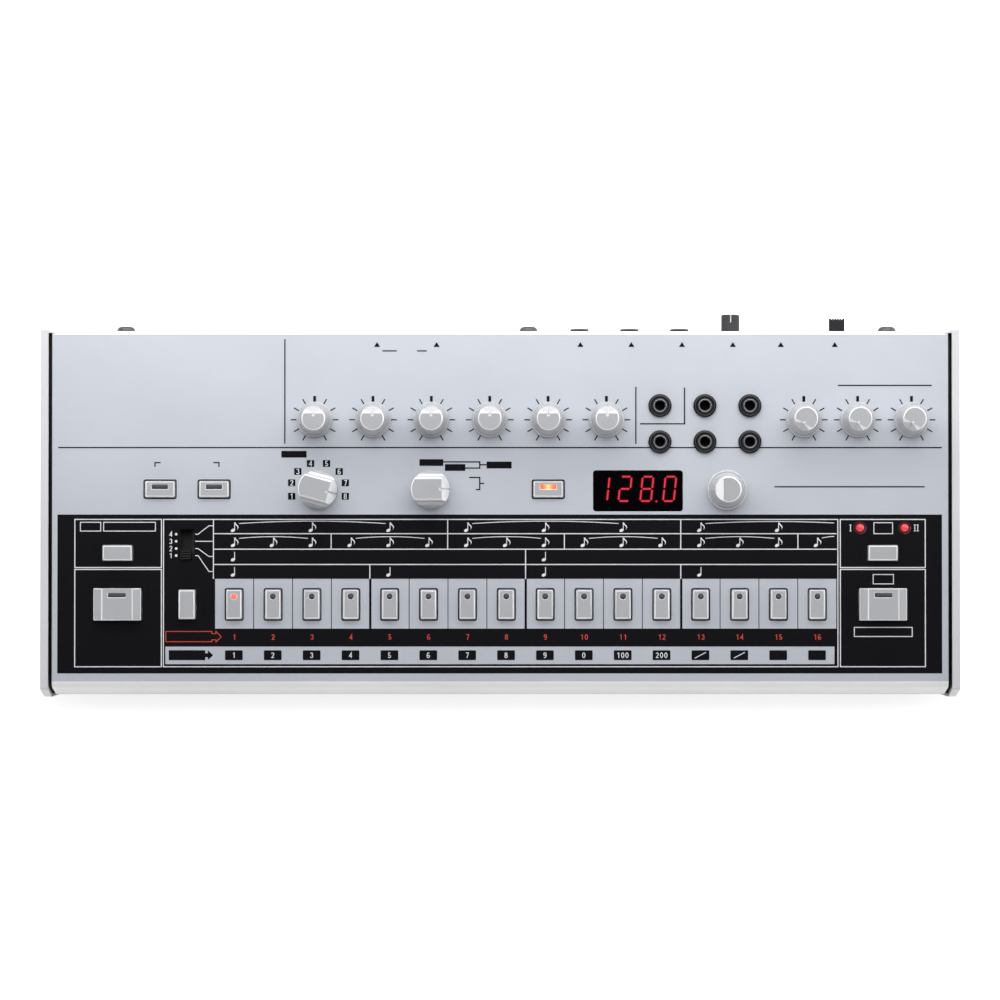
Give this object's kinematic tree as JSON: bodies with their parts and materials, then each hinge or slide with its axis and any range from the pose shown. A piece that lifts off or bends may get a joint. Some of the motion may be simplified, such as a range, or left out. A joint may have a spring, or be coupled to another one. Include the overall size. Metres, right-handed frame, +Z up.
{
  "type": "drum machine",
  "caption": "Desktop drum machine with a sloping panel of knobs, selectors, step buttons, slide, jacks and display, and sockets on the rear.",
  "frame": {"origin": "middle of the whole machine in X and Y, on the table under the feet", "axes": "+X to the right as the player sees it, +Y to the back where the sockets are, +Z up"},
  "size_m": [0.3504, 0.146, 0.0587],
  "materials": {
    "silver_panel": "satin paint with printed legends",
    "white_case": "fine satin",
    "white_cheek": "satin",
    "grey_bottom": "fine texture",
    "rear_white": "satin",
    "foot_rubber": "matte",
    "screw_steel": "nickel plated",
    "smoked_window": "polished smoked acrylic",
    "module_black": "matte",
    "red_led": "clear tinted",
    "jack_black": "satin",
    "nut_black": "black plated",
    "socket_black": "matte",
    "usb_steel": "plated",
    "board_green": "solder mask",
    "pot_body": "matte",
    "switch_black": "matte",
    "cell_wrap": "printed wrap",
    "knob_grey": "satin",
    "button_grey": "satin",
    "slide_black": "matte",
    "black_ink": "screen-printed black",
    "white_ink": "screen-printed white",
    "red_ink": "screen-printed red",
    "lit_segment": "lit segment"
  },
  "bodies": {
    "case": {"top_panel": "silver_panel", "upper_case": "white_case", "lower_case": "grey_bottom", "rear_panel": "rear_white", "left_cheek": "white_cheek", "right_cheek": "white_cheek", "rubber_feet": "foot_rubber", "case_screws": "screw_steel", "batteries": "cell_wrap", "display_window": "smoked_window", "display_module": "module_black", "group_leds": "red_led", "panel_board": "board_green", "main_board": "board_green", "rotary_bodies": "pot_body", "switch_bodies": "switch_black", "mini_jacks": "jack_black", "jack_nuts": "nut_black", "midi_sockets": "socket_black", "usb_socket": "usb_steel"},
    "level_knob_1": {"level_knob_1": "knob_grey"},
    "level_knob_2": {"level_knob_2": "knob_grey"},
    "level_knob_3": {"level_knob_3": "knob_grey"},
    "level_knob_4": {"level_knob_4": "knob_grey"},
    "level_knob_5": {"level_knob_5": "knob_grey"},
    "level_knob_6": {"level_knob_6": "knob_grey"},
    "drive_knob": {"drive_knob": "knob_grey"},
    "delay_time_knob": {"delay_time_knob": "knob_grey"},
    "delay_depth_knob": {"delay_depth_knob": "knob_grey"},
    "instrument_selector": {"instrument_selector": "knob_grey"},
    "mode_selector": {"mode_selector": "knob_grey"},
    "value_knob": {"value_knob": "knob_grey"},
    "volume_knob": {"volume_knob": "slide_black"},
    "step_button_01": {"step_button_01": "button_grey"},
    "step_button_02": {"step_button_02": "button_grey"},
    "step_button_03": {"step_button_03": "button_grey"},
    "step_button_04": {"step_button_04": "button_grey"},
    "step_button_05": {"step_button_05": "button_grey"},
    "step_button_06": {"step_button_06": "button_grey"},
    "step_button_07": {"step_button_07": "button_grey"},
    "step_button_08": {"step_button_08": "button_grey"},
    "step_button_09": {"step_button_09": "button_grey"},
    "step_button_10": {"step_button_10": "button_grey"},
    "step_button_11": {"step_button_11": "button_grey"},
    "step_button_12": {"step_button_12": "button_grey"},
    "step_button_13": {"step_button_13": "button_grey"},
    "step_button_14": {"step_button_14": "button_grey"},
    "step_button_15": {"step_button_15": "button_grey"},
    "step_button_16": {"step_button_16": "button_grey"},
    "run_stop_button": {"run_stop_button": "button_grey"},
    "tap_button": {"tap_button": "button_grey"},
    "pattern_clear_button": {"pattern_clear_button": "button_grey"},
    "pattern_group_button": {"pattern_group_button": "button_grey"},
    "function_button": {"function_button": "button_grey"},
    "menu_button": {"menu_button": "button_grey"},
    "step_loop_button": {"step_loop_button": "button_grey"},
    "tempo_button": {"tempo_button": "button_grey"},
    "scale_slide": {"scale_slide": "slide_black"},
    "power_slide": {"power_slide": "slide_black"},
    "battery_door": {"battery_door": "grey_bottom"}
  },
  "joints": [
    {"name": "level_knob_1_turn", "type": "hinge", "parent": "case", "child": "level_knob_1", "pos_m": [-0.0708, 0.02815, 0.0442], "axis": [0, -0.1908, 0.9816], "range_deg": [-150, 150]},
    {"name": "level_knob_2_turn", "type": "hinge", "parent": "case", "child": "level_knob_2", "pos_m": [-0.04854, 0.02815, 0.0442], "axis": [0, -0.1908, 0.9816], "range_deg": [-150, 150]},
    {"name": "level_knob_3_turn", "type": "hinge", "parent": "case", "child": "level_knob_3", "pos_m": [-0.02628, 0.02815, 0.0442], "axis": [0, -0.1908, 0.9816], "range_deg": [-150, 150]},
    {"name": "level_knob_4_turn", "type": "hinge", "parent": "case", "child": "level_knob_4", "pos_m": [-0.00402, 0.02815, 0.0442], "axis": [0, -0.1908, 0.9816], "range_deg": [-150, 150]},
    {"name": "level_knob_5_turn", "type": "hinge", "parent": "case", "child": "level_knob_5", "pos_m": [0.01824, 0.02815, 0.0442], "axis": [0, -0.1908, 0.9816], "range_deg": [-150, 150]},
    {"name": "level_knob_6_turn", "type": "hinge", "parent": "case", "child": "level_knob_6", "pos_m": [0.0405, 0.02815, 0.0442], "axis": [0, -0.1908, 0.9816], "range_deg": [-150, 150]},
    {"name": "drive_knob_turn", "type": "hinge", "parent": "case", "child": "drive_knob", "pos_m": [0.1158, 0.02815, 0.0442], "axis": [0, -0.1908, 0.9816], "range_deg": [-300, 0]},
    {"name": "delay_time_knob_turn", "type": "hinge", "parent": "case", "child": "delay_time_knob", "pos_m": [0.13635, 0.02815, 0.0442], "axis": [0, -0.1908, 0.9816], "range_deg": [-300, 0]},
    {"name": "delay_depth_knob_turn", "type": "hinge", "parent": "case", "child": "delay_depth_knob", "pos_m": [0.1569, 0.02815, 0.0442], "axis": [0, -0.1908, 0.9816], "range_deg": [-300, 0]},
    {"name": "instrument_selector_turn", "type": "hinge", "parent": "case", "child": "instrument_selector", "pos_m": [-0.0693, 0.00204, 0.03913], "axis": [0, -0.1908, 0.9816], "range_deg": [0, 210]},
    {"name": "mode_selector_turn", "type": "hinge", "parent": "case", "child": "mode_selector", "pos_m": [-0.0265, 0.00204, 0.03913], "axis": [0, -0.1908, 0.9816], "range_deg": [0, 90]},
    {"name": "value_knob_turn", "type": "hinge", "parent": "case", "child": "value_knob", "pos_m": [0.0864, 0.00184, 0.03909], "axis": [0, -0.1908, 0.9816], "continuous": true},
    {"name": "volume_knob_turn", "type": "hinge", "parent": "case", "child": "volume_knob", "pos_m": [0.0888, 0.06509, 0.03152], "axis": [0, 0.9816, 0.1908], "range_deg": [-150, 150]},
    {"name": "step_button_01_press", "type": "slide", "parent": "case", "child": "step_button_01", "axis": [0, 0.1908, -0.9816], "range_m": [0, 0.0008], "stiffness_N_per_m": 300, "springref_m": -0.001},
    {"name": "step_button_02_press", "type": "slide", "parent": "case", "child": "step_button_02", "axis": [0, 0.1908, -0.9816], "range_m": [0, 0.0008], "stiffness_N_per_m": 300, "springref_m": -0.001},
    {"name": "step_button_03_press", "type": "slide", "parent": "case", "child": "step_button_03", "axis": [0, 0.1908, -0.9816], "range_m": [0, 0.0008], "stiffness_N_per_m": 300, "springref_m": -0.001},
    {"name": "step_button_04_press", "type": "slide", "parent": "case", "child": "step_button_04", "axis": [0, 0.1908, -0.9816], "range_m": [0, 0.0008], "stiffness_N_per_m": 300, "springref_m": -0.001},
    {"name": "step_button_05_press", "type": "slide", "parent": "case", "child": "step_button_05", "axis": [0, 0.1908, -0.9816], "range_m": [0, 0.0008], "stiffness_N_per_m": 300, "springref_m": -0.001},
    {"name": "step_button_06_press", "type": "slide", "parent": "case", "child": "step_button_06", "axis": [0, 0.1908, -0.9816], "range_m": [0, 0.0008], "stiffness_N_per_m": 300, "springref_m": -0.001},
    {"name": "step_button_07_press", "type": "slide", "parent": "case", "child": "step_button_07", "axis": [0, 0.1908, -0.9816], "range_m": [0, 0.0008], "stiffness_N_per_m": 300, "springref_m": -0.001},
    {"name": "step_button_08_press", "type": "slide", "parent": "case", "child": "step_button_08", "axis": [0, 0.1908, -0.9816], "range_m": [0, 0.0008], "stiffness_N_per_m": 300, "springref_m": -0.001},
    {"name": "step_button_09_press", "type": "slide", "parent": "case", "child": "step_button_09", "axis": [0, 0.1908, -0.9816], "range_m": [0, 0.0008], "stiffness_N_per_m": 300, "springref_m": -0.001},
    {"name": "step_button_10_press", "type": "slide", "parent": "case", "child": "step_button_10", "axis": [0, 0.1908, -0.9816], "range_m": [0, 0.0008], "stiffness_N_per_m": 300, "springref_m": -0.001},
    {"name": "step_button_11_press", "type": "slide", "parent": "case", "child": "step_button_11", "axis": [0, 0.1908, -0.9816], "range_m": [0, 0.0008], "stiffness_N_per_m": 300, "springref_m": -0.001},
    {"name": "step_button_12_press", "type": "slide", "parent": "case", "child": "step_button_12", "axis": [0, 0.1908, -0.9816], "range_m": [0, 0.0008], "stiffness_N_per_m": 300, "springref_m": -0.001},
    {"name": "step_button_13_press", "type": "slide", "parent": "case", "child": "step_button_13", "axis": [0, 0.1908, -0.9816], "range_m": [0, 0.0008], "stiffness_N_per_m": 300, "springref_m": -0.001},
    {"name": "step_button_14_press", "type": "slide", "parent": "case", "child": "step_button_14", "axis": [0, 0.1908, -0.9816], "range_m": [0, 0.0008], "stiffness_N_per_m": 300, "springref_m": -0.001},
    {"name": "step_button_15_press", "type": "slide", "parent": "case", "child": "step_button_15", "axis": [0, 0.1908, -0.9816], "range_m": [0, 0.0008], "stiffness_N_per_m": 300, "springref_m": -0.001},
    {"name": "step_button_16_press", "type": "slide", "parent": "case", "child": "step_button_16", "axis": [0, 0.1908, -0.9816], "range_m": [0, 0.0008], "stiffness_N_per_m": 300, "springref_m": -0.001},
    {"name": "run_stop_button_press", "type": "slide", "parent": "case", "child": "run_stop_button", "axis": [0, 0.1908, -0.9816], "range_m": [0, 0.0008], "stiffness_N_per_m": 300, "springref_m": -0.001},
    {"name": "tap_button_press", "type": "slide", "parent": "case", "child": "tap_button", "axis": [0, 0.1908, -0.9816], "range_m": [0, 0.0008], "stiffness_N_per_m": 300, "springref_m": -0.001},
    {"name": "pattern_clear_button_press", "type": "slide", "parent": "case", "child": "pattern_clear_button", "axis": [0, 0.1908, -0.9816], "range_m": [0, 0.0008], "stiffness_N_per_m": 300, "springref_m": -0.001},
    {"name": "pattern_group_button_press", "type": "slide", "parent": "case", "child": "pattern_group_button", "axis": [0, 0.1908, -0.9816], "range_m": [0, 0.0008], "stiffness_N_per_m": 300, "springref_m": -0.001},
    {"name": "function_button_press", "type": "slide", "parent": "case", "child": "function_button", "axis": [0, 0.1908, -0.9816], "range_m": [0, 0.0008], "stiffness_N_per_m": 300, "springref_m": -0.001},
    {"name": "menu_button_press", "type": "slide", "parent": "case", "child": "menu_button", "axis": [0, 0.1908, -0.9816], "range_m": [0, 0.0008], "stiffness_N_per_m": 300, "springref_m": -0.001},
    {"name": "step_loop_button_press", "type": "slide", "parent": "case", "child": "step_loop_button", "axis": [0, 0.1908, -0.9816], "range_m": [0, 0.0008], "stiffness_N_per_m": 300, "springref_m": -0.001},
    {"name": "tempo_button_press", "type": "slide", "parent": "case", "child": "tempo_button", "axis": [0, 0.1908, -0.9816], "range_m": [0, 0.0008], "stiffness_N_per_m": 300, "springref_m": -0.001},
    {"name": "scale_slide_move", "type": "slide", "parent": "case", "child": "scale_slide", "axis": [0, 0.9816, 0.1908], "range_m": [0, 0.0081]},
    {"name": "power_slide_move", "type": "slide", "parent": "case", "child": "power_slide", "axis": [-1, 0, 0], "range_m": [0, 0.004]},
    {"name": "battery_door_swing", "type": "hinge", "parent": "case", "child": "battery_door", "pos_m": [-0.108, -0.00773, 0.0035], "axis": [-1, 0, 0], "range_deg": [0, 90]}
  ]
}
